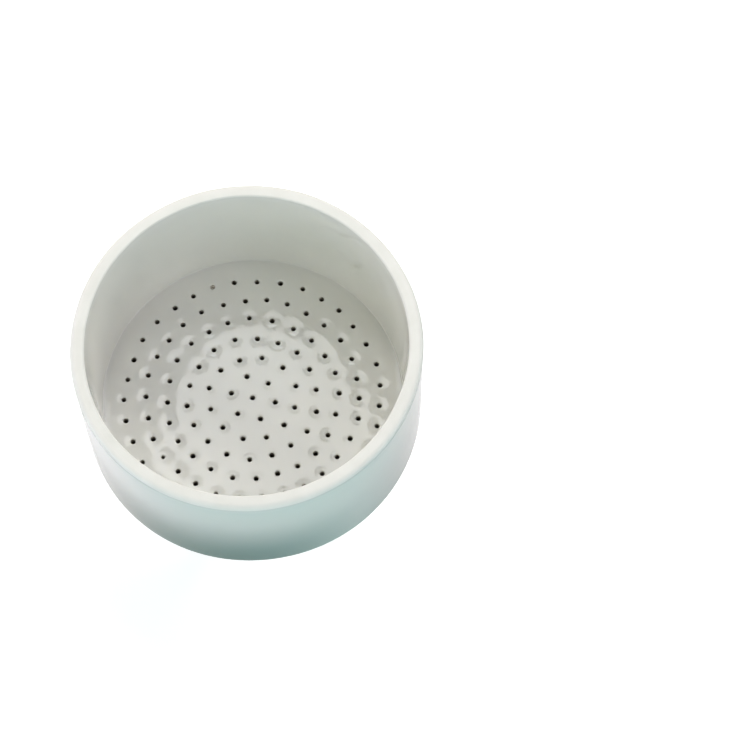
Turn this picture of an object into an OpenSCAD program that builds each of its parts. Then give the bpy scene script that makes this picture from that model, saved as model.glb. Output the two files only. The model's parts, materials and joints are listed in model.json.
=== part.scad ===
// Buchner funnel: a round bowl with a perforated filter plate, a shallow
// collecting cone under the plate and a straight outlet stem.
// The four formed parts meet face to face on real seats, and three beads of
// slip run round the seams between them.
// Origin: centre of the stem's open tip. +Z runs up the axis to the rim.

/* [Bowl] */
// Inside diameter of the bowl at its rim
bowl_bore_d = 100; // [80:1:130]
// Thickness of the bowl wall at the rim
wall_t = 4.4; // [4.2:0.1:6]
// Depth from the rim to the filter plate
bowl_depth = 45; // [30:1:60]
// How far the inside radius narrows between the rim and the plate
bowl_taper = 1.4; // [0:0.1:2]
// Rounding of the rim's outer corner
rim_outer_round = 1.3; // [0.5:0.1:1.8]
// Rounding of the rim's inner corner
rim_inner_round = 0.5; // [0.3:0.1:1.2]

/* [Filter plate] */
// Thickness of the filter plate
plate_t = 4.5; // [3:0.5:6]
// How far the plate's tongue is let into the foot of the bowl wall
tongue_w = 2; // [1:0.1:2.5]
// Thickness of the plate's tongue
tongue_t = 2.5; // [1:0.5:2.5]
// Diameter of each perforation
hole_d = 1.7; // [1:0.1:2.5]
// Rings that each hold six holes more than the ring inside them
even_rings = 5; // [2:1:5]
// Holes in the outermost ring
outer_ring_holes = 35; // [24:1:40]
// Radius of the first ring of holes
first_ring_r = 7.4; // [5:0.1:9]
// Plain border between the outermost ring of holes and the bowl wall
hole_border = 7.2; // [4:0.1:9]
// Direction of the row of holes that all the rings share
row_angle = 47.6; // [0:0.1:60]
// How far the hand-punched holes stray from their rings
punch_stray = 0.35; // [0:0.05:0.6]
// How far the whole pattern of holes sits off the middle of the plate, in X and Y
pattern_shift = [-0.1, -0.4]; // [-0.5:0.1:0.5]

/* [Cone] */
// Height of the plain band of outer wall below the underside of the plate
shoulder_band = 2.5; // [1:0.5:8]
// Drop of the cone from the shoulder to the stem
cone_drop = 28; // [20:1:40]
// Thickness of the cone's wall
cone_t = 4.2; // [3.5:0.1:5]
// Width of the ledge that carries the edge of the plate
ledge_w = 6.6; // [5:0.1:8]
// Rounding of the shoulder between the bowl and the cone
shoulder_round = 5; // [2:0.5:7]

/* [Stem] */
// Outside diameter of the stem
stem_d = 18; // [16:0.5:24]
// Bore of the stem
stem_bore_d = 11; // [8:0.5:12]
// Length of the stem from its tip to the point where the cone would meet it
stem_len = 43; // [30:1:70]
// Hollow rounding of the neck between the cone and the stem
neck_round = 12; // [8:1:16]
// Rounding of the tip's outer edge
tip_round = 1; // [0.4:0.1:1.2]

/* [Hidden] */
ARC_STEPS = 12;
$fn = 96;

// Colours of the glazed body, the plate and the wiped slip
GLAZE_WHITE = [0.93, 0.93, 0.91];
PLATE_WHITE = [0.90, 0.90, 0.88];
SLIP_CREAM = [0.95, 0.93, 0.88];

// Rounding of the bore at the tip and at the throat inside the cone
mouth_round = 0.5;
throat_round = 2;
// Slip bead in the corner between the plate and the wall: its width, how far
// it sinks into the bevelled edge of the plate, and how hollow its face is
bead_w = 1;
bead_sink = 0.4;
bead_hollow = 0.2;
// V-groove of the shoulder seam: its depth and its half height at the surface
seam_depth = 1.8;
seam_half_h = 0.9;
// Radial thickness of the stem's spigot, which stands in the cone's throat
spigot_t = 2.1;
// Share of the neck's hollow arc that is left to the cone and to the stem
neck_share = 0.3;

// Radii
bowl_r = bowl_bore_d / 2;
outer_r = bowl_r + wall_t;
plate_top_r = bowl_r - bowl_taper;
plate_r = plate_top_r + tongue_w;
ledge_r = plate_r - ledge_w;
stem_r = stem_d / 2;
bore_r = stem_bore_d / 2;
spigot_r = bore_r + spigot_t;

// Heights above the tip
shoulder_z = stem_len + cone_drop;
seat_z = shoulder_z + shoulder_band;
tongue_z = seat_z + tongue_t;
plate_top_z = seat_z + plate_t;
rim_z = plate_top_z + bowl_depth;

// Slope of the cone above the horizontal, and heights on its two faces
cone_slope = atan(cone_drop / (outer_r - stem_r));
function cone_outer_z(r) = stem_len + (r - stem_r) * tan(cone_slope);
function cone_inner_z(r) = cone_outer_z(r) + cone_t / cos(cone_slope);

// Angle that a corner between the vertical and the cone turns through,
// and the length that a rounding takes from each side of such a corner
corner_turn = 90 - cone_slope;
function corner_setback(r) = r * tan(corner_turn / 2);

// Centres of the neck's hollow arc and of the throat's rounding
neck_c = [stem_r + neck_round, stem_len - corner_setback(neck_round)];
throat_c = [bore_r + throat_round,
    cone_inner_z(bore_r + throat_round) - throat_round / cos(cone_slope)];

// Points of a circular arc about c from angle a0 to angle a1
function arc(c, r, a0, a1) = [for (i = [0 : ARC_STEPS])
    let (a = a0 + (a1 - a0) * i / ARC_STEPS) c + r * [cos(a), sin(a)]];

// Outer line of the wall, from the tip's bore up to the rim's land
outer_line = concat(
    arc([bore_r + mouth_round, mouth_round], mouth_round, 180, 270),
    arc([stem_r - tip_round, tip_round], tip_round, 270, 360),
    arc(neck_c, neck_round, 180, 180 - corner_turn),
    arc([outer_r - shoulder_round, shoulder_z + corner_setback(shoulder_round)],
        shoulder_round, -corner_turn, 0),
    arc([outer_r - rim_outer_round, rim_z - rim_outer_round], rim_outer_round, 0, 90));

// Inner line of the wall, from the rim's land down to the bore
inner_line = concat(
    arc([bowl_r + rim_inner_round, rim_z - rim_inner_round], rim_inner_round, 90, 180),
    [[plate_top_r, plate_top_z], [plate_top_r, tongue_z], [plate_r, tongue_z],
        [plate_r, seat_z], [ledge_r, seat_z], [ledge_r, cone_inner_z(ledge_r)]],
    arc(throat_c, throat_round, 90 + cone_slope, 180));

// Section of the whole wall, which the formed parts and two seams share out
module wall_section() {
    polygon(concat(outer_line, inner_line));
}

// Corner where the cone's underside would meet the stem
neck_corner = [stem_r, stem_len];

// A point beyond the neck's hollow arc, in line with the neck corner and the
// point of the arc that lies at the given share of its turn
function beyond_neck(share) =
    let (a = 180 - corner_turn * share, p = neck_c + neck_round * [cos(a), sin(a)])
    neck_corner + 1.5 * (p - neck_corner);

// Region of the coil that fills the neck
module neck_region() {
    polygon([neck_corner, beyond_neck(neck_share), beyond_neck(1 - neck_share)]);
}

// Region of the stem: all below the neck, and the spigot up through the throat
module stem_region() {
    polygon([[0, -1], [2 * stem_r, -1], beyond_neck(neck_share), neck_corner,
        [spigot_r, stem_len], [spigot_r, rim_z], [0, rim_z]]);
}

// Region of the V-groove round the shoulder seam
module seam_region() {
    polygon([[outer_r - seam_depth, seat_z],
        [outer_r + seam_depth, seat_z - 2 * seam_half_h],
        [outer_r + seam_depth, seat_z + 2 * seam_half_h]]);
}

// Region below the seat on which the bowl wall and the plate stand
module below_seat() {
    translate([0, -1]) square([2 * outer_r, seat_z + 1]);
}

// Places of the perforations: a centre hole, the even rings and the outer ring
ring_pitch = (plate_top_r - hole_border - first_ring_r) / even_rings;
function ring_r(k) = first_ring_r + (k - 1) * ring_pitch;
function ring_holes(k) = k > even_rings ? outer_ring_holes : 6 * k;

// Uneven but fixed stray of hole i in ring k, along and across its radius
function stray(k, i) = punch_stray * [sin(97 * i + 40 * k), cos(61 * i + 130 * k)];

module perforations() {
    translate(pattern_shift) {
        through_hole();
        for (k = [1 : even_rings + 1], i = [1 : ring_holes(k)])
            rotate(row_angle + 360 * i / ring_holes(k))
                translate([ring_r(k), 0] + stray(k, i)) through_hole();
    }
}

module through_hole() {
    translate([0, 0, seat_z - 1]) cylinder(h = plate_t + 2, d = hole_d, $fn = 24);
}

// Straight-sided bowl with a rounded rim, rebated at its foot for the plate's tongue
module bowl_wall() {
    color(GLAZE_WHITE) rotate_extrude() difference() {
        wall_section();
        below_seat();
        seam_region();
    }
}

// Round plate with rings of through holes, a tongue round its foot and a
// bevelled edge round its top
module filter_plate() {
    color(PLATE_WHITE) difference() {
        rotate_extrude() polygon([[0, seat_z], [plate_r, seat_z], [plate_r, tongue_z],
            [plate_top_r, tongue_z], [plate_top_r, plate_top_z - bead_sink],
            [plate_top_r - bead_w, plate_top_z], [0, plate_top_z]]);
        perforations();
    }
}

// Shallow cone with a rounded shoulder; its top carries the plate and the bowl
module lower_cone() {
    color(GLAZE_WHITE) rotate_extrude() difference() {
        intersection() {
            wall_section();
            below_seat();
        }
        seam_region();
        neck_region();
        stem_region();
    }
}

// Straight tube with a stepped spigot that stands in the cone's throat
module outlet_stem() {
    color(GLAZE_WHITE) rotate_extrude() intersection() {
        wall_section();
        stem_region();
    }
}

// Bead of slip in the corner between the plate's bevel and the bowl wall
module plate_seam_bead() {
    wall_lean = bowl_taper * bead_w / bowl_depth;
    middle = bead_w / 2;
    color(SLIP_CREAM) rotate_extrude() polygon([
        [plate_top_r - bead_w, plate_top_z],
        [plate_top_r, plate_top_z - bead_sink],
        [plate_top_r, plate_top_z],
        [plate_top_r + wall_lean, plate_top_z + bead_w],
        [plate_top_r - middle + bead_hollow, plate_top_z + middle - bead_hollow]]);
}

// Ring of slip that fills the groove round the shoulder seam, wiped flush
module shoulder_seam_bead() {
    color(SLIP_CREAM) rotate_extrude() intersection() {
        wall_section();
        seam_region();
    }
}

// Coil of clay worked smooth between the cone and the stem
module neck_coil() {
    color(SLIP_CREAM) rotate_extrude() intersection() {
        wall_section();
        neck_region();
    }
}

bowl_wall();
filter_plate();
lower_cone();
outlet_stem();
plate_seam_bead();
shoulder_seam_bead();
neck_coil();
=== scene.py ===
import json
import math

import bpy
import numpy as np
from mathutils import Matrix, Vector
from mathutils.geometry import delaunay_2d_cdt


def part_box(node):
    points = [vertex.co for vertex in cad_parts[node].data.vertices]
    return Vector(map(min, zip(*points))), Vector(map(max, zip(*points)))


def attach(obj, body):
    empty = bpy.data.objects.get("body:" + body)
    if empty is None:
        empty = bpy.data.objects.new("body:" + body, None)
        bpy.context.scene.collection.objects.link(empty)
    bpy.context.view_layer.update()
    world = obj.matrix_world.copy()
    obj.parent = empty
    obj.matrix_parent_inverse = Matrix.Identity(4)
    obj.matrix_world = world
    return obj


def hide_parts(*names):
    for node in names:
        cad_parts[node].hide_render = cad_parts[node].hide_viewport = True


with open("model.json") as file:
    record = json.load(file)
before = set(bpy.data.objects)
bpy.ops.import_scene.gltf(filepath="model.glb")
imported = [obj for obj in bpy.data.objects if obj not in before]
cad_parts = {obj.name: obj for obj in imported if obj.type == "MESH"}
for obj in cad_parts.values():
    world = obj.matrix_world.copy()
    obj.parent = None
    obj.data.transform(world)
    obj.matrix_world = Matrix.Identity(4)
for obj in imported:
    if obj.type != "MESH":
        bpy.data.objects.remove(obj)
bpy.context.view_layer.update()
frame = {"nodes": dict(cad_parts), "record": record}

# Looks of a porcelain Buchner funnel: a closed detailed mesh for each CAD piece, and one
# more for the bare clay of the rim. Lengths are in metres.
MM = 0.001

# ---------------------------------------------------------------- sizes
# Places that the frame gives
BOWL_LOW, BOWL_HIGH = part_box("bowl_wall")
PLATE_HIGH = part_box("filter_plate")[1]
OUTER_R = BOWL_HIGH.x
RIM_Z = BOWL_HIGH.z
SEAT_Z = BOWL_LOW.z
PLATE_TOP = PLATE_HIGH.z
TONGUE_R = PLATE_HIGH.x
MOUNTS = {mount["name"]: mount for mount in frame["record"]["mounts"]}
STEM_R = MOUNTS["stem"]["dims"]["r_mm"] * MM

# Bowl
WALL_T = 4.4 * MM
BOWL_R = OUTER_R - WALL_T
PLATE_TOP_R = BOWL_R - 1.4 * MM
TONGUE_Z = SEAT_Z + 2.5 * MM
RIM_OUTER_ROUND = 1.7 * MM
RIM_INNER_ROUND = 0.5 * MM

# Slip bead round the plate
BEAD_W = 1.0 * MM
BEAD_SINK = 0.4 * MM
BEAD_FILLET = 0.45 * MM

# Cone, neck and stem
STEM_LEN = 43.0 * MM
CONE_DROP = 28.0 * MM
CONE_T = 4.2 * MM
LEDGE_R = TONGUE_R - 6.6 * MM
SHOULDER_ROUND = 5.0 * MM
NECK_ROUND = 12.0 * MM
# Share of the neck's hollow arc that is left to the cone and to the stem
NECK_SHARE = 0.3
BORE_R = 5.5 * MM
SPIGOT_R = BORE_R + 2.1 * MM
TIP_ROUND = 1.0 * MM
MOUTH_ROUND = 0.5 * MM
THROAT_ROUND = 2.0 * MM
# Groove of the shoulder seam: its depth, its half height at the wall, and how many degrees
# down the shoulder's arc its bead ends
SEAM_DEPTH = 1.8 * MM
SEAM_HALF_H = 0.9 * MM
SEAM_TURN = 13.0

# Glaze on the rim: how far it stops below the land outside and inside, how
# thick it stands over the bare clay, and how deep the bare ring reaches
GLAZE_STOP_OUT = 1.75 * MM
GLAZE_STOP_IN = 0.55 * MM
GLAZE_T = 0.06 * MM
BARE_DEPTH = 3.2 * MM
# How the glaze's outer and inner edges stray up and down, as terms of ripple
STRAY_OUT = ((5, 0.10 * MM, 0.4), (11, 0.07 * MM, 2.0), (23, 0.05 * MM, 1.1))
STRAY_IN = ((7, 0.05 * MM, 3.0), (17, 0.03 * MM, 0.2))

# Unroundness from firing, as terms of drawn_in: how the wall draws in, how it leans with a
# twist (in radians) over the funnel's height, and how the rim sags
SWAY = ((2, 0.10 * MM, 0.9), (3, 0.06 * MM, 2.3))
LEAN = ((5, 0.05 * MM, 0.4),)
LEAN_TWIST = 4.0
SAG = ((2, 0.07 * MM, 0.2), (3, 0.07 * MM, 1.9))

# Perforations
HOLE_R = 0.80 * MM
LIP_WIDTH = 0.50 * MM
LIP_DEPTH = 0.45 * MM
DIMPLE_R = 3.0 * MM
DIMPLE_DEPTH = 0.045 * MM
# Degrees of the lip's arc, and shares of the bore's depth, at which there is a loop of points
LIP_TURNS = (9, 18, 28, 40, 54, 72, 90)
BORE_SHARES = (0.12, 0.3, 0.6, 1.0)
# How much narrower a bore is half way down, as a share of its radius
BORE_WAIST = 0.05
# Uneven sizes: the share that a hole's radius strays by, the mean and the stray of a
# dimple's depth, and the steps in radians from one hole to the next
HOLE_STRAY = 0.05
HOLE_STEP = 2.4
DIMPLE_MEAN = 0.9
DIMPLE_STRAY = 0.35
DIMPLE_STEP = 1.7
# Points round each hole, and round the whole funnel
RING_POINTS = 28
TURN_STEPS = 288
# Radius and direction of the hole that is closed, how deep its pit is, and the same of the
# narrowed hole with the share of its radius that is left
CLOSED_HOLE = (41.2 * MM, 108.9)
CLOSED_DEPTH = 0.9 * MM
NARROW_HOLE = (35.1 * MM, 216.5)
NARROWING = 0.78
# Finding the holes on the CAD plate: how level a point of its top is, the plain edge with no
# holes, a distance that is wider than a hole, and the width in mm of the bands for sorting
LEVEL_WITHIN = 0.01 * MM
PLAIN_EDGE = 3 * MM
PAST_ONE_HOLE = 2.2 * HOLE_R
SORT_BAND = 3

# Face of the plate: slow waves (height in mm, radians per mm along x and y, phase), how far
# its middle is sunk, and the share of its radius from which it runs out level
PLATE_WAVES = ((0.014, 0.21, 0.13, 0.5), (0.012, -0.27, 0.16, 1.7),
               (0.008, 0.47, 0.10, 0.0), (0.008, -0.15, 0.43, 2.2))
PLATE_SUNK = 0.04 * MM
LEVEL_FROM = 0.82
# Points of that face: rings beyond each lip, and rows of a field that keeps clear of them
LIP_RINGS = (0.22 * MM, 0.5 * MM, 0.85 * MM, 1.25 * MM)
FIELD_PITCH = 1.1 * MM
ROW_RATIO = 0.866
FIELD_TO_EDGE = 0.6 * MM
FIELD_TO_LIP = 1.6 * MM
# Settings of delaunay_2d_cdt: triangles only inside the outer border, and its tolerance
INSIDE_BORDER = 1
CDT_TOLERANCE = 1e-9

# Camera: its elevation, its lens and sensor in mm, how far it sees in metres, and where the
# centre of the rim lies from it
CAMERA_ELEVATION = 67.87
CAMERA_LENS = 120.0
CAMERA_SENSOR = 36.0
CAMERA_CLIP = 20.0
RIM_RIGHT = -39.42 * MM
RIM_UP = 10.10 * MM
RIM_AHEAD = 765.72 * MM

# Floor and flag cards: half the floor's width, the cards' radius and heights, their steps,
# and their names with the directions they run between
FLOOR_HALF = 3.0
FLAG_R = 92 * MM
FLAG_LOW = 20 * MM
FLAG_HIGH = 97 * MM
FLAG_STEPS = 40
FLAGS = (("flag_front", 165, 297), ("flag_right", 314, 375))

# Surroundings: strength of the light from below, from the left and from the right; how far
# down it is full; the way that the blue green comes from, and how it fades in round that way
BELOW_LEFT = 1.12
BELOW_RIGHT = 0.82
BELOW_FULL = -0.3
TEAL_WAY = (0.13, -0.918, -0.374)
TEAL_STARTS = 0.1
TEAL_FULL = 0.8

# Colours
BODY_LIGHT = (0.81, 0.81, 0.775, 1)
BODY_DEEP = (0.79, 0.79, 0.76, 1)
PLATE_LIGHT = (0.80, 0.80, 0.765, 1)
PLATE_DEEP = (0.78, 0.78, 0.75, 1)
IRON_BROWN = (0.30, 0.24, 0.17, 1)
CLAY_LIGHT = (0.87, 0.87, 0.84, 1)
CLAY_DEEP = (0.835, 0.835, 0.80, 1)
CLAY_DIRT = (0.34, 0.29, 0.21, 1)
# Colour of the bore's clay at its mouth, the painted shade that it darkens to with depth, and its
# stain
BORE_MOUTH = (0.72, 0.67, 0.58, 1)
BORE_PAINTED_SHADE = (0.06, 0.052, 0.042, 1)
BORE_STAIN = (0.10, 0.085, 0.065, 1)
FLOOR_PALE = (0.80, 0.83, 0.83, 1)
FLOOR_GLOW = (0.98, 1.0, 1.0, 1)
FLAG_DARK = (0.02, 0.03, 0.03, 1)
TEAL = (0.11, 0.47, 0.455, 1)
NEAR_WHITE = (0.95, 0.97, 0.97, 1)

# Slow waves of melted glaze, as the height of a bump
BODY_WAVE = 0.02 * MM
PLATE_WAVE = 0.03 * MM
# Range of the noise that wander spreads out
GRAIN_LOW = 0.3
GRAIN_HIGH = 0.7

CONE_SLOPE = math.atan2(CONE_DROP, OUTER_R - STEM_R)
CORNER_TURN = 90.0 - math.degrees(CONE_SLOPE)


def cone_inner_z(r):
    return STEM_LEN + (r - STEM_R) * math.tan(CONE_SLOPE) + CONE_T / math.cos(CONE_SLOPE)


def corner_setback(r):
    return r * math.tan(math.radians(CORNER_TURN / 2))


SHOULDER_C = (OUTER_R - SHOULDER_ROUND,
              STEM_LEN + CONE_DROP + corner_setback(SHOULDER_ROUND))
NECK_C = (STEM_R + NECK_ROUND, STEM_LEN - corner_setback(NECK_ROUND))
THROAT_C = (BORE_R + THROAT_ROUND,
            cone_inner_z(BORE_R + THROAT_ROUND) - THROAT_ROUND / math.cos(CONE_SLOPE))


# ---------------------------------------------------------------- outlines
# lathe gives each outline the direction round the axis, which only the uneven ones use.
def arc(centre, radius, start, end, step=5.0):
    """Points of an arc in (radius, height), from one angle to another in degrees."""
    count = max(3, math.ceil(abs(end - start) / step))
    angles = [math.radians(start + (end - start) * i / count) for i in range(count + 1)]
    return [(centre[0] + radius * math.cos(a), centre[1] + radius * math.sin(a))
            for a in angles]


def line(a, b, step=3.0 * MM):
    """Points between two outline points, without the two ends."""
    count = max(1, math.ceil(math.dist(a, b) / step))
    return [(a[0] + (b[0] - a[0]) * i / count, a[1] + (b[1] - a[1]) * i / count)
            for i in range(1, count)]


def chain(*parts):
    """Joins points and runs of points into a closed outline, cut into short steps."""
    points = []
    for part in parts:
        run = part if isinstance(part, list) else [part]
        if points:
            points += line(points[-1], run[0])
        points += run
    return points + line(points[-1], points[0])


def ripple(angle, *terms):
    """A sum of sines round the axis: (waves round the turn, height, phase)."""
    return sum(h * math.sin(n * angle + phase) for n, h, phase in terms)


def inner_wall_r(z):
    """Radius of the tapered inner wall at a height."""
    share = (z - PLATE_TOP) / (RIM_Z - PLATE_TOP)
    return PLATE_TOP_R + (BOWL_R - PLATE_TOP_R) * share


def bowl_outline(angle):
    """Glazed wall, with a trough in its top for the bare rim."""
    outer_stop = RIM_Z - GLAZE_STOP_OUT + ripple(angle, *STRAY_OUT)
    inner_stop = RIM_Z - GLAZE_STOP_IN + ripple(angle, *STRAY_IN)
    inner_r = inner_wall_r(inner_stop)
    trough_z = RIM_Z - BARE_DEPTH
    return chain(
        (OUTER_R, SEAT_Z + SEAM_HALF_H),
        arc((OUTER_R - GLAZE_T, outer_stop - GLAZE_T), GLAZE_T, 0, 90, 30),
        (OUTER_R - GLAZE_T, trough_z),
        (inner_r + GLAZE_T, trough_z),
        arc((inner_r + GLAZE_T, inner_stop - GLAZE_T), GLAZE_T, 90, 180, 30),
        (PLATE_TOP_R, PLATE_TOP),
        (PLATE_TOP_R, TONGUE_Z),
        (TONGUE_R, TONGUE_Z),
        (TONGUE_R, SEAT_Z),
        (OUTER_R - SEAM_DEPTH, SEAT_Z))


def rim_outline(angle):
    """Bare ring of clay: it fills the trough and rounds over to the land."""
    inner_r = inner_wall_r(RIM_Z - GLAZE_STOP_IN) + GLAZE_T
    outer_r = OUTER_R - GLAZE_T
    trough_z = RIM_Z - BARE_DEPTH
    outer_round = RIM_OUTER_ROUND + ripple(angle, (4, 0.12 * MM, 1.0), (9, 0.08 * MM, 0.3))
    return chain(
        (outer_r, trough_z),
        arc((outer_r - outer_round, RIM_Z - outer_round), outer_round, 0, 90, 10),
        arc((inner_r + RIM_INNER_ROUND, RIM_Z - RIM_INNER_ROUND), RIM_INNER_ROUND, 90, 180, 15),
        (inner_r, trough_z))


def plate_bead_outline(angle):
    """Bead of slip level with the plate, with an uneven hollow fillet against the wall."""
    fillet = BEAD_FILLET + ripple(angle, (6, 0.08 * MM, 0.7), (15, 0.05 * MM, 2.2), (31, 0.03 * MM, 0))
    wall_r = inner_wall_r(PLATE_TOP + fillet)
    hollow = arc((wall_r - fillet, PLATE_TOP + fillet), fillet, 0, -90, 12)
    return chain((PLATE_TOP_R - BEAD_W, PLATE_TOP), (PLATE_TOP_R, PLATE_TOP - BEAD_SINK),
                 (PLATE_TOP_R, PLATE_TOP), hollow)


def shoulder_bead_outline(angle):
    """Ring of slip, wiped flush with the wall and the shoulder."""
    return chain((OUTER_R - SEAM_DEPTH, SEAT_Z),
                 arc(SHOULDER_C, SHOULDER_ROUND, -SEAM_TURN, 0),
                 (OUTER_R, SEAT_Z + SEAM_HALF_H))


def neck_arc(start_share, end_share):
    """Part of the neck's hollow arc, between two shares of its turn from the stem."""
    return arc(NECK_C, NECK_ROUND, 180 - CORNER_TURN * start_share,
               180 - CORNER_TURN * end_share, 3)


def cone_outline(angle):
    """Shoulder, cone and the upper share of the neck, hollow inside."""
    return chain(
        (OUTER_R - SEAM_DEPTH, SEAT_Z),
        (LEDGE_R, SEAT_Z),
        (LEDGE_R, cone_inner_z(LEDGE_R)),
        (SPIGOT_R, cone_inner_z(SPIGOT_R)),
        (SPIGOT_R, STEM_LEN),
        (STEM_R, STEM_LEN),
        neck_arc(1 - NECK_SHARE, 1),
        arc(SHOULDER_C, SHOULDER_ROUND, -CORNER_TURN, -SEAM_TURN))


def coil_outline(angle):
    """The middle share of the neck."""
    return chain((STEM_R, STEM_LEN), neck_arc(NECK_SHARE, 1 - NECK_SHARE))


def stem_outline(angle):
    """The lower share of the neck, the tube and its spigot."""
    return chain(
        (STEM_R, STEM_LEN),
        (SPIGOT_R, STEM_LEN),
        (SPIGOT_R, cone_inner_z(SPIGOT_R)),
        arc(THROAT_C, THROAT_ROUND, 180 - CORNER_TURN, 180),
        arc((BORE_R + MOUTH_ROUND, MOUTH_ROUND), MOUTH_ROUND, 180, 270, 20),
        arc((STEM_R - TIP_ROUND, TIP_ROUND), TIP_ROUND, 270, 360, 12),
        neck_arc(0, NECK_SHARE))


# ---------------------------------------------------------------- meshes
def smooth(low, high, value):
    """0 below low, 1 above high, and a smooth step between."""
    share = np.clip((value - low) / (high - low), 0, 1)
    return share * share * (3 - 2 * share)


def drawn_in(angle, terms):
    """A sum of sines (waves round the turn, height, phase), lowered to lie below zero."""
    return sum(h * (np.sin(n * angle + phase) - 1) for n, h, phase in terms)


def handmade(points):
    """The slight unroundness that firing gives the whole funnel. Every piece gets the same,
    so the seams stay closed, and it only draws the surface in, so the frame's box holds."""
    x, y, z = points.T
    r = np.hypot(x, y)
    angle = np.arctan2(y, x)
    inward = drawn_in(angle, SWAY) + drawn_in(angle + LEAN_TWIST * z / RIM_Z, LEAN)
    scale = 1 + inward * (r / OUTER_R) ** 2 / np.maximum(r, MM)
    sag = drawn_in(angle, SAG) * smooth(PLATE_TOP, RIM_Z, z)
    return np.stack([x * scale, y * scale, z + sag], 1)


def new_piece(name, verts, faces, materials, node, sharp=35.0):
    """A mesh piece that rides on the funnel and, if a node is named, replaces that CAD node."""
    mesh = bpy.data.meshes.new(name)
    mesh.from_pydata(handmade(np.array(verts)).tolist(), [], faces)
    mesh.validate()
    for polygon in mesh.polygons:
        polygon.use_smooth = True
    mesh.set_sharp_from_angle(angle=math.radians(sharp))
    for material in materials:
        mesh.materials.append(material)
    piece = bpy.data.objects.new(name, mesh)
    bpy.context.scene.collection.objects.link(piece)
    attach(piece, "root")
    if node:
        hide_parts(node)
    return piece


def lathe(name, outline, material, node=None):
    """A closed ring: the outline turned about the axis."""
    turns = [2 * math.pi * j / TURN_STEPS for j in range(TURN_STEPS)]
    rings = [outline(turn) for turn in turns]
    count = len(rings[0])
    verts = [(r * math.cos(turn), r * math.sin(turn), z)
             for turn, ring in zip(turns, rings) for r, z in ring]
    area = sum(a[0] * b[1] - b[0] * a[1] for a, b in zip(rings[0], rings[0][1:] + rings[0][:1]))
    faces = []
    for j in range(TURN_STEPS):
        here, there = j * count, (j + 1) % TURN_STEPS * count
        for i in range(count):
            k = (i + 1) % count
            quad = (here + i, there + i, there + k, here + k)
            faces.append(quad if area > 0 else quad[::-1])
    return new_piece(name, verts, faces, [material], node)


def hole_centres():
    """Centres of the perforations, measured on the frame's own plate and sorted in bands
    from the middle outwards."""
    cad = frame["nodes"]["filter_plate"].data
    points = np.array([v.co[:] for v in cad.vertices])
    on_top = np.abs(points[:, 2] - PLATE_TOP) < LEVEL_WITHIN
    inside = np.hypot(points[:, 0], points[:, 1]) < PLATE_TOP_R - PLAIN_EDGE
    rim_points = points[on_top & inside][:, :2]
    centres = []
    while len(rim_points):
        near = np.hypot(*(rim_points - rim_points[0]).T) < PAST_ONE_HOLE
        corners = rim_points[near]
        centres.append((corners.min(0) + corners.max(0)) / 2)
        rim_points = rim_points[~near]

    def band_and_direction(centre):
        band = round(float(np.hypot(*centre)) / MM / SORT_BAND)
        return band, math.atan2(centre[1], centre[0])

    return sorted(centres, key=band_and_direction)


def hole_sizes(centres):
    """Radius of each hole: a little uneven, and one narrowed."""
    sizes = [HOLE_R * (1 + HOLE_STRAY * math.sin(HOLE_STEP * i)) for i in range(len(centres))]
    sizes[nearest_hole(centres, NARROW_HOLE)] *= NARROWING
    return sizes


def nearest_hole(centres, place):
    """Index of the hole nearest to a (radius, angle) on the plate."""
    x = place[0] * math.cos(math.radians(place[1]))
    y = place[0] * math.sin(math.radians(place[1]))
    return min(range(len(centres)), key=lambda i: math.dist(centres[i], (x, y)))


def plate_height(points, centres):
    """Height of the glazed top: a shallow dimple round each hole on an uneven, slightly
    sunken face that runs out level at its edge."""
    x, y = points[:, 0], points[:, 1]
    away = np.hypot(x[:, None] - centres[None, :, 0], y[:, None] - centres[None, :, 1])
    hole = away.argmin(1)
    reach = away.min(1)
    depth = DIMPLE_DEPTH * (DIMPLE_MEAN + DIMPLE_STRAY * np.sin(DIMPLE_STEP * hole))
    dimple = -depth * (1 - smooth(HOLE_R + LIP_WIDTH, DIMPLE_R, reach))
    u, v = x / MM, y / MM
    waves = sum(h * np.sin(p * u + q * v + phase) for h, p, q, phase in PLATE_WAVES) * MM
    r = np.hypot(x, y)
    inside = 1 - smooth(LEVEL_FROM * PLATE_TOP_R, PLATE_TOP_R - BEAD_W, r)
    sunk = -PLATE_SUNK * (1 - (r / PLATE_TOP_R) ** 2)
    return PLATE_TOP + dimple + (waves + sunk) * inside


def circle(centre, radius, count, phase=0.0):
    """Points of a circle, anticlockwise, turned by a phase counted in steps."""
    return [(centre[0] + radius * math.cos(2 * math.pi * (i + phase) / count),
             centre[1] + radius * math.sin(2 * math.pi * (i + phase) / count))
            for i in range(count)]


def flat_face(edge, loops, free):
    """Triangles that fill a round edge less its hole loops, through the free points.
    Returns the points and the triangles; the edge and the loops come first, in order."""
    points = list(edge)
    borders = [list(range(len(edge)))]
    for loop in loops:
        borders.append(list(range(len(points), len(points) + len(loop))))
        points += loop
    ties = [(border[i - 1], border[i]) for border in borders for i in range(len(border))]
    points += free
    _, _, faces, origins, _, _ = delaunay_2d_cdt(
        [Vector(p) for p in points], ties, [], INSIDE_BORDER, CDT_TOLERANCE)
    source = [origin[0] for origin in origins]
    hole_of = {k: n for n, border in enumerate(borders[1:]) for k in border}
    kept = []
    for face in faces:
        corners = [source[k] for k in face]
        homes = {hole_of.get(k, -1) for k in corners}
        if len(homes) == 1 and -1 not in homes:
            continue
        kept.append(corners)
    return points, kept


def stitch(first, second):
    """Quads between two loops that run anticlockwise, seen from above. They face away from
    the axis if the first loop is the upper one, and towards it if the second is."""
    count = len(first)
    return [(first[i], second[i], second[(i + 1) % count], first[(i + 1) % count])
            for i in range(count)]


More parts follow.
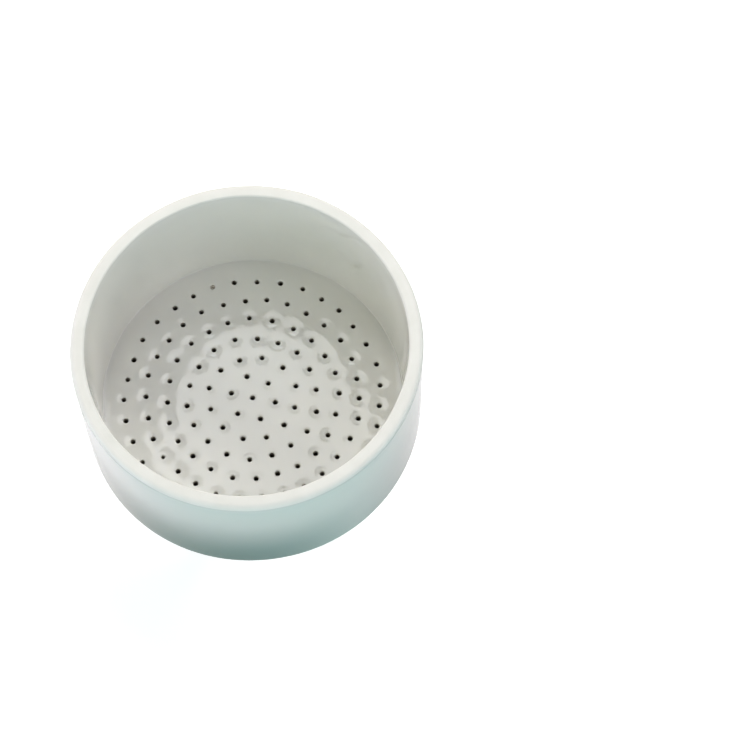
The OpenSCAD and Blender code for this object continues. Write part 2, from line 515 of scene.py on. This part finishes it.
def plate_points(centres, sizes):
    """Free points of the top face: rings round each hole and an even field between."""
    free = []
    for centre, size in zip(centres, sizes):
        for m, reach in enumerate(LIP_RINGS):
            free += circle(centre, size + LIP_WIDTH + reach, RING_POINTS, 0.5 * (m + 1))
    rows = int(PLATE_TOP_R / FIELD_PITCH / ROW_RATIO) + 1
    for row in range(-rows, rows + 1):
        for column in range(-rows, rows + 1):
            x = FIELD_PITCH * (column + 0.5 * (row % 2))
            y = ROW_RATIO * FIELD_PITCH * row
            if math.hypot(x, y) > PLATE_TOP_R - BEAD_W - FIELD_TO_EDGE:
                continue
            to_hole = np.hypot(centres[:, 0] - x, centres[:, 1] - y).min()
            if to_hole > HOLE_R + LIP_WIDTH + FIELD_TO_LIP:
                free.append((x, y))
    return free


def filter_plate(glaze, bore):
    """The perforated plate: dimpled glazed top, rounded holes, one of them closed to a
    shallow pit, and a plain underside of the same clay as the bores, which painted shade makes near
    black."""
    centres = np.array(hole_centres())
    sizes = hole_sizes(centres)
    closed = nearest_hole(centres, CLOSED_HOLE)
    verts, faces, bores = [], [], []

    def add_loop(points, heights):
        start = len(verts)
        verts.extend((x, y, z) for (x, y), z in zip(points, heights))
        return list(range(start, len(verts)))

    edge = circle((0, 0), PLATE_TOP_R - BEAD_W, TURN_STEPS)
    loops = [circle(c, size + LIP_WIDTH, RING_POINTS) for c, size in zip(centres, sizes)]
    points, triangles = flat_face(edge, loops, plate_points(centres, sizes))
    heights = plate_height(np.array(points), centres)
    top = add_loop(points, heights)
    faces += [tuple(top[k] for k in face) for face in triangles]

    floor_loops = []
    for n, (centre, size) in enumerate(zip(centres, sizes)):
        start = len(edge) + n * RING_POINTS
        loop = top[start:start + RING_POINTS]
        level = float(np.mean(heights[start:start + RING_POINTS]))
        for turn in LIP_TURNS:
            a = math.radians(turn)
            rim = circle(centre, size + LIP_WIDTH * (1 - math.sin(a)), RING_POINTS)
            lower = add_loop(rim, [level - LIP_DEPTH * (1 - math.cos(a))] * RING_POINTS)
            faces += stitch(lower, loop)
            loop = lower
        if n == closed:
            centre_point = add_loop([tuple(centre)], [level - CLOSED_DEPTH])[0]
            bores += [(loop[i], loop[(i + 1) % RING_POINTS], centre_point)
                      for i in range(RING_POINTS)]
            continue
        for share in BORE_SHARES:
            z = level - LIP_DEPTH + (SEAT_Z - level + LIP_DEPTH) * share
            bore_r = size * (1 - BORE_WAIST * math.sin(math.pi * share))
            lower = add_loop(circle(centre, bore_r, RING_POINTS), [z] * RING_POINTS)
            bores += stitch(lower, loop)
            loop = lower
        floor_loops.append((loop, centre, size))

    outer = top[:len(edge)]
    for r, z in ((PLATE_TOP_R, PLATE_TOP - BEAD_SINK), (PLATE_TOP_R, TONGUE_Z),
                 (TONGUE_R, TONGUE_Z), (TONGUE_R, SEAT_Z)):
        lower = add_loop(circle((0, 0), r, TURN_STEPS), [z] * TURN_STEPS)
        faces += stitch(outer, lower)
        outer = lower
    foot_edge = circle((0, 0), TONGUE_R, TURN_STEPS)
    foot_loops = [circle(c, size, RING_POINTS) for _, c, size in floor_loops]
    _, foot_faces = flat_face(foot_edge, foot_loops, [])
    known = outer + [k for loop, _, _ in floor_loops for k in loop]
    bores += [tuple(known[k] for k in reversed(face)) for face in foot_faces]

    piece = new_piece("filter_plate_glazed", verts, faces + bores, [glaze, bore],
                      "filter_plate", sharp=20)
    # The bores and the underside take the bore clay, whose painted shade darkens them with depth
    for polygon in piece.data.polygons[len(faces):]:
        polygon.material_index = 1
    return piece


# ---------------------------------------------------------------- materials
def new_material(name):
    material = bpy.data.materials.new(name)
    material.use_nodes = True
    return material, material.node_tree.nodes["Principled BSDF"]


def add_node(material, kind, inputs=(), **settings):
    """Adds a node; inputs maps a socket's name or number to a value or another socket."""
    node = material.node_tree.nodes.new("ShaderNode" + kind)
    for key, value in settings.items():
        setattr(node, key, value)
    for key, value in dict(inputs).items():
        if isinstance(value, bpy.types.NodeSocket):
            material.node_tree.links.new(value, node.inputs[key])
        else:
            node.inputs[key].default_value = value
    return node


def object_place(material, scale=(1, 1, 1)):
    """Object coordinates in metres, stretched by scale."""
    coords = add_node(material, "TexCoord").outputs["Object"]
    return add_node(material, "Mapping", {"Vector": coords, "Scale": scale}).outputs[0]


def grain(material, size, detail=2.0, stretch=(1, 1, 1)):
    """Noise whose features are about size metres across."""
    inputs = {"Vector": object_place(material, stretch), "Scale": 1 / size, "Detail": detail}
    return add_node(material, "TexNoise", inputs).outputs["Fac"]


def spread(material, value, low, high, to_low=0.0, to_high=1.0):
    """Maps the range from low to high onto another range, and holds at its ends."""
    return add_node(material, "MapRange", {"Value": value, "From Min": low, "From Max": high,
                                           "To Min": to_low, "To Max": to_high}).outputs[0]


def wander(material, size, detail, low, high):
    """A value that wanders between low and high with a grain of about size metres."""
    return spread(material, grain(material, size, detail), GRAIN_LOW, GRAIN_HIGH, low, high)


def blend_colour(material, share, low, high):
    """The low colour where share is 0 and the high colour where it is 1."""
    node = add_node(material, "Mix", data_type="RGBA")
    links = material.node_tree.links
    for socket, value in ((node.inputs[0], share), (node.inputs[6], low), (node.inputs[7], high)):
        if isinstance(value, bpy.types.NodeSocket):
            links.new(value, socket)
        else:
            socket.default_value = value
    return node.outputs[2]


def specks(material, spacing, size, chance):
    """Dots that fade out at size metres from their middles, in a share of the cells given
    by chance. The cells are about spacing metres across. 1 in a dot and 0 outside."""
    inputs = {"Vector": object_place(material), "Scale": 1 / spacing}
    cells = add_node(material, "TexVoronoi", inputs)
    dot = spread(material, cells.outputs["Distance"], size / spacing, 0.5 * size / spacing)
    pick = add_node(material, "SeparateColor", {"Color": cells.outputs["Color"]}).outputs[0]
    chosen = add_node(material, "Math", {0: pick, 1: chance}, operation="LESS_THAN").outputs[0]
    return add_node(material, "Math", {0: dot, 1: chosen}, operation="MULTIPLY").outputs[0]


def bump(material, layers):
    """A chain of bumps, each a height from 0 to 1 and how many metres that is."""
    normal = None
    for height, metres in layers:
        inputs = {"Height": height, "Distance": metres, "Strength": 1.0}
        if normal is not None:
            inputs["Normal"] = normal
        normal = add_node(material, "Bump", inputs).outputs["Normal"]
    return normal


def glaze_material(name, light, deep, wave):
    """Clear glossy glaze over white clay: faint clouds, rare iron specks, the slow waves of
    melted glaze, fine orange peel and turning marks that run round the wall."""
    material, shader = new_material(name)
    clouds = spread(material, grain(material, 22 * MM, 3.0), 0.35, 0.65)
    colour = blend_colour(material, clouds, light, deep)
    dots = specks(material, 9 * MM, 0.17 * MM, 0.16)
    colour = blend_colour(material, dots, colour, IRON_BROWN)
    links = material.node_tree.links
    links.new(colour, shader.inputs["Base Color"])
    links.new(wander(material, 9 * MM, 4.0, 0.02, 0.045), shader.inputs["Roughness"])
    shader.inputs["IOR"].default_value = 1.5
    shader.inputs["Subsurface Weight"].default_value = 0.12
    shader.inputs["Subsurface Radius"].default_value = (1.0, 0.85, 0.6)
    shader.inputs["Subsurface Scale"].default_value = 1.2 * MM
    layers = ((grain(material, 14 * MM, 1.0), wave),
              (grain(material, 2.2 * MM, 1.0), 0.002 * MM),
              (grain(material, 40 * MM, 2.0, (1, 1, 16)), 0.004 * MM))
    links.new(bump(material, layers), shader.inputs["Normal"])
    return material


def bare_clay_material():
    """Unglazed rim: matt, cream, mottled, with fine grit and small pits."""
    material, shader = new_material("bare_clay")
    mottle = spread(material, grain(material, 7 * MM, 4.0), 0.35, 0.68)
    colour = blend_colour(material, mottle, CLAY_LIGHT, CLAY_DEEP)
    dirt = specks(material, 7 * MM, 0.22 * MM, 0.22)
    colour = blend_colour(material, dirt, colour, CLAY_DIRT)
    links = material.node_tree.links
    links.new(colour, shader.inputs["Base Color"])
    links.new(wander(material, 3 * MM, 3.0, 0.55, 0.8), shader.inputs["Roughness"])
    pits = specks(material, 1.6 * MM, 0.18 * MM, 0.5)
    layers = ((grain(material, 3.5 * MM, 3.0), 0.06 * MM),
              (grain(material, 0.35 * MM, 3.0), 0.02 * MM),
              (pits, -0.04 * MM))
    links.new(bump(material, layers), shader.inputs["Normal"])
    return material


def bore_material():
    """Walls of the holes below their glazed lips, and the plate's underside: rough clay,
    stained by residue, with painted shade that darkens it with depth to near black."""
    material, shader = new_material("bore_clay_painted_shade")
    height = add_node(material, "SeparateXYZ", {"Vector": object_place(material)}).outputs["Z"]
    # Painted shade: the colour darkens from the mouth colour to near black with depth below the
    # plate's top
    depth = spread(material, height, PLATE_TOP - 0.4 * MM, PLATE_TOP - 2.6 * MM)
    colour = blend_colour(material, depth, BORE_MOUTH, BORE_PAINTED_SHADE)
    stain = spread(material, grain(material, 0.6 * MM, 3.0), 0.35, 0.65)
    colour = blend_colour(material, stain, colour, BORE_STAIN)
    links = material.node_tree.links
    links.new(colour, shader.inputs["Base Color"])
    links.new(wander(material, 0.5 * MM, 2.0, 0.5, 0.8), shader.inputs["Roughness"])
    layers = ((grain(material, 0.4 * MM, 2.0), 0.03 * MM),)
    links.new(bump(material, layers), shader.inputs["Normal"])
    return material


# ---------------------------------------------------------------- scene
def make_funnel():
    body = glaze_material("body_glaze", BODY_LIGHT, BODY_DEEP, BODY_WAVE)
    top = glaze_material("plate_glaze", PLATE_LIGHT, PLATE_DEEP, PLATE_WAVE)
    bare = bare_clay_material()
    bore = bore_material()
    lathe("bowl_wall_glazed", bowl_outline, body, "bowl_wall")
    lathe("rim_land_bare", rim_outline, bare)
    lathe("lower_cone_glazed", cone_outline, body, "lower_cone")
    lathe("outlet_stem_glazed", stem_outline, body, "outlet_stem")
    lathe("plate_seam_glazed", plate_bead_outline, body, "plate_seam_bead")
    lathe("shoulder_seam_glazed", shoulder_bead_outline, body, "shoulder_seam_bead")
    lathe("neck_coil_glazed", coil_outline, body, "neck_coil")
    filter_plate(top, bore)


def make_floor():
    """A pale floor, level with the stem's tip. Its own glow makes it look nearly white, and
    neither the funnel's shading nor its shine sees it."""
    corners = [(FLOOR_HALF * x, FLOOR_HALF * y, 0) for x, y in ((-1, -1), (1, -1), (1, 1), (-1, 1))]
    mesh = bpy.data.meshes.new("floor")
    mesh.from_pydata(corners, [], [(0, 1, 2, 3)])
    floor = bpy.data.objects.new("floor", mesh)
    bpy.context.scene.collection.objects.link(floor)
    material, shader = new_material("floor_white")
    shader.inputs["Base Color"].default_value = FLOOR_PALE
    shader.inputs["Roughness"].default_value = 0.5
    shader.inputs["Emission Color"].default_value = FLOOR_GLOW
    shader.inputs["Emission Strength"].default_value = 0.68
    mesh.materials.append(material)
    floor.visible_diffuse = False
    floor.visible_glossy = False


def lamp(name, place, target, size, watts, colour=(1, 1, 1), shape="RECTANGLE"):
    """A soft area light at a place, aimed at a target, unseen by the camera itself."""
    light = bpy.data.lights.new(name, "AREA")
    light.shape = shape
    light.size, light.size_y = size
    light.energy = watts
    light.color = colour
    holder = bpy.data.objects.new(name, light)
    holder.location = place
    holder.rotation_euler = (Vector(target) - Vector(place)).to_track_quat("-Z", "Y").to_euler()
    holder.visible_camera = False
    bpy.context.scene.collection.objects.link(holder)


def make_lights():
    """Soft boxes high behind, in front and on both sides, low panels in front and on the
    left, and a round dish whose mirror image lies on the plate. Places and sizes are in
    metres."""
    middle = (0, 0, PLATE_TOP)
    lamp("back_high", (0, 0.52, 0.95), middle, (1.2, 0.12), 2.4, (0.92, 0.97, 1.0))
    lamp("back_left", (-0.65, 0.6, 0.6), middle, (0.5, 0.5), 3.7, (1.0, 0.92, 0.90))
    lamp("back_right", (0.5, 0.68, 0.6), middle, (0.4, 0.2), 4.4, (1.0, 0.97, 0.90))
    lamp("front_high", (0, -0.75, 0.8), middle, (0.8, 0.4), 1.85, (1.0, 0.93, 0.90))
    lamp("left_high", (-0.7, -0.2, 0.75), middle, (0.4, 0.6), 1.75, (1.0, 1.0, 0.84))
    lamp("right_high", (0.7, -0.2, 0.75), middle, (0.4, 0.6), 2.1, (1.0, 0.93, 0.97))
    lamp("front_panel", (0.08, -0.45, 0.125), (0, 0, 0.125), (0.8, 0.24), 1.0, (1.0, 0.80, 0.83))
    lamp("left_panel", (-0.5, -0.1, 0.14), (0, 0, 0.14), (0.5, 0.26), 0.95, (0.90, 0.84, 1.0))
    lamp("dish", (-0.0290, 0.255, 0.778), middle, (0.128, 0.128), 0.135, shape="DISK")
    make_flags()
    bpy.context.scene.world = make_world()


def make_flags():
    """Dark cards curved round the left and front and round the right, with a gap between
    them. They keep low light off the bowl's foot."""
    material, shader = new_material("flag_dark")
    shader.inputs["Base Color"].default_value = FLAG_DARK
    shader.inputs["Roughness"].default_value = 1.0
    for name, first, last in FLAGS:
        verts = []
        for i in range(FLAG_STEPS + 1):
            a = math.radians(first + (last - first) * i / FLAG_STEPS)
            x = FLAG_R * math.cos(a)
            y = FLAG_R * math.sin(a)
            verts += [(x, y, FLAG_LOW), (x, y, FLAG_HIGH)]
        faces = [(i, i + 2, i + 3, i + 1) for i in range(0, 2 * FLAG_STEPS, 2)]
        mesh = bpy.data.meshes.new(name)
        mesh.from_pydata(verts, [], faces)
        mesh.materials.append(material)
        flag = bpy.data.objects.new(name, mesh)
        flag.visible_camera = False
        flag.visible_glossy = False
        bpy.context.scene.collection.objects.link(flag)


def make_world():
    """The light left over all round: pale from below, a little stronger from the left, and
    a deep blue green round a way in front and somewhat below. None comes from overhead. The
    camera itself sees a plain near white."""
    world = bpy.data.worlds.new("studio")
    world.use_nodes = True
    tree = world.node_tree

    def node(kind, inputs, **settings):
        made = tree.nodes.new("ShaderNode" + kind)
        for key, value in settings.items():
            setattr(made, key, value)
        for key, value in inputs.items():
            if isinstance(value, bpy.types.NodeSocket):
                tree.links.new(value, made.inputs[key])
            else:
                made.inputs[key].default_value = value
        return made

    way = node("TexCoord", {}).outputs["Generated"]
    parts = node("SeparateXYZ", {0: way}).outputs
    sideways = node("MapRange", {"Value": parts["X"], "From Min": -1.0, "From Max": 1.0,
                                 "To Min": BELOW_LEFT, "To Max": BELOW_RIGHT}).outputs[0]
    below = node("MapRange", {"Value": parts["Z"], "From Min": BELOW_FULL, "From Max": 0.0,
                              "To Min": sideways, "To Max": 0.0}).outputs[0]
    forward = node("VectorMath", {0: way, 1: TEAL_WAY}, operation="DOT_PRODUCT").outputs["Value"]
    front = node("MapRange", {"Value": forward, "From Min": TEAL_STARTS, "From Max": TEAL_FULL},
                 interpolation_type="SMOOTHSTEP").outputs[0]
    grey = node("CombineColor", {i: below for i in range(3)}).outputs[0]
    light = node("Mix", {0: front, 6: grey, 7: TEAL}, data_type="RGBA").outputs[2]
    camera = node("LightPath", {}).outputs["Is Camera Ray"]
    seen = node("Mix", {0: camera, 6: light, 7: NEAR_WHITE}, data_type="RGBA")
    tree.links.new(seen.outputs[2], tree.nodes["Background"].inputs["Color"])
    return world


def make_camera():
    """The funnel's rim lies left of and above the middle of the picture, seen from in front
    and well above, through a long lens."""
    elevation = math.radians(CAMERA_ELEVATION)
    right = Vector((1, 0, 0))
    ahead = Vector((0, math.cos(elevation), -math.sin(elevation)))
    up = right.cross(ahead)
    data = bpy.data.cameras.new("camera")
    data.lens = CAMERA_LENS
    data.sensor_width = CAMERA_SENSOR
    data.clip_end = CAMERA_CLIP
    camera = bpy.data.objects.new("camera", data)
    camera.rotation_euler = (math.pi / 2 - elevation, 0, 0)
    camera.location = Vector((0, 0, RIM_Z)) - (RIM_RIGHT * right + RIM_UP * up + RIM_AHEAD * ahead)
    bpy.context.scene.collection.objects.link(camera)
    bpy.context.scene.camera = camera


make_funnel()
make_floor()
make_lights()
make_camera()
bpy.context.scene.view_settings.view_transform = "Standard"
